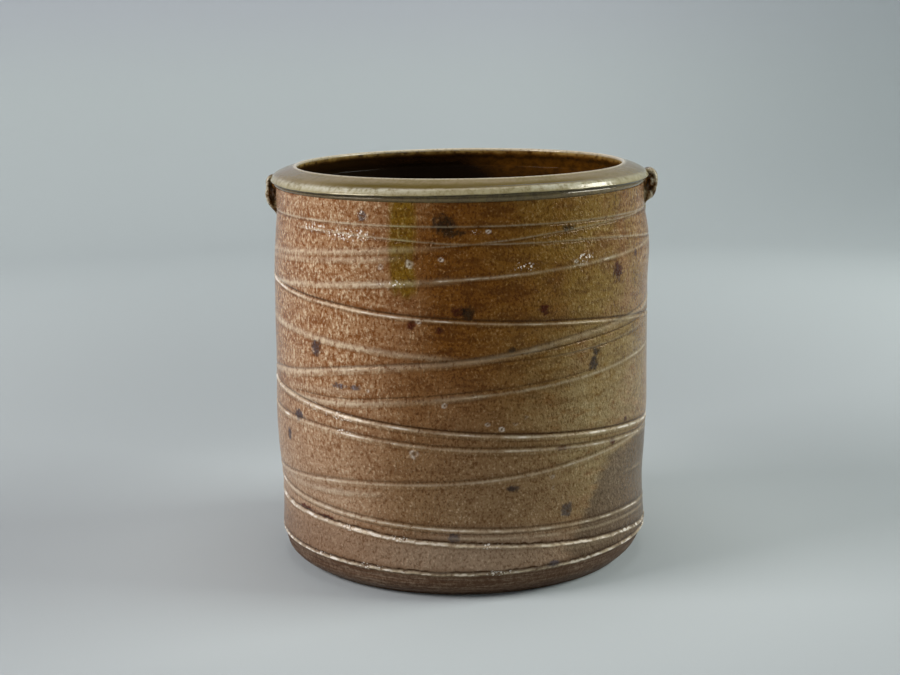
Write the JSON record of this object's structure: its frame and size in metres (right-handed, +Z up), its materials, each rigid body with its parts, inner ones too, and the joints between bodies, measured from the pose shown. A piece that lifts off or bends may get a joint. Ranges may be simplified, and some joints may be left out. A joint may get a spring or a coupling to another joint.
{
  "type": "jar",
  "caption": "Open near-cylindrical stoneware jar with a bevelled rim, small pinched ears beside the rim and long lines cut round the wall; holds water or tools.",
  "frame": {"origin": "centre of the flat foot, on the surface that the jar stands on", "axes": "+Z up along the jar's axis, -Y towards the side that the picture shows, +X towards the right ear"},
  "size_m": [0.178, 0.17, 0.178],
  "materials": {
    "foot_clay": "dark unglazed stoneware, fine turning lines",
    "wall_glaze": "salt and wood ash glaze on red-brown stoneware, cream speckle",
    "rim_glaze": "glossy olive-grey ash glaze",
    "lug_glaze": "glossy olive-brown ash glaze, dark in the hollow"
  },
  "bodies": {
    "root": {"floor": "foot_clay", "wall": "wall_glaze", "rim": "rim_glaze", "lug_left": "lug_glaze", "lug_right": "lug_glaze"}
  },
  "joints": []
}
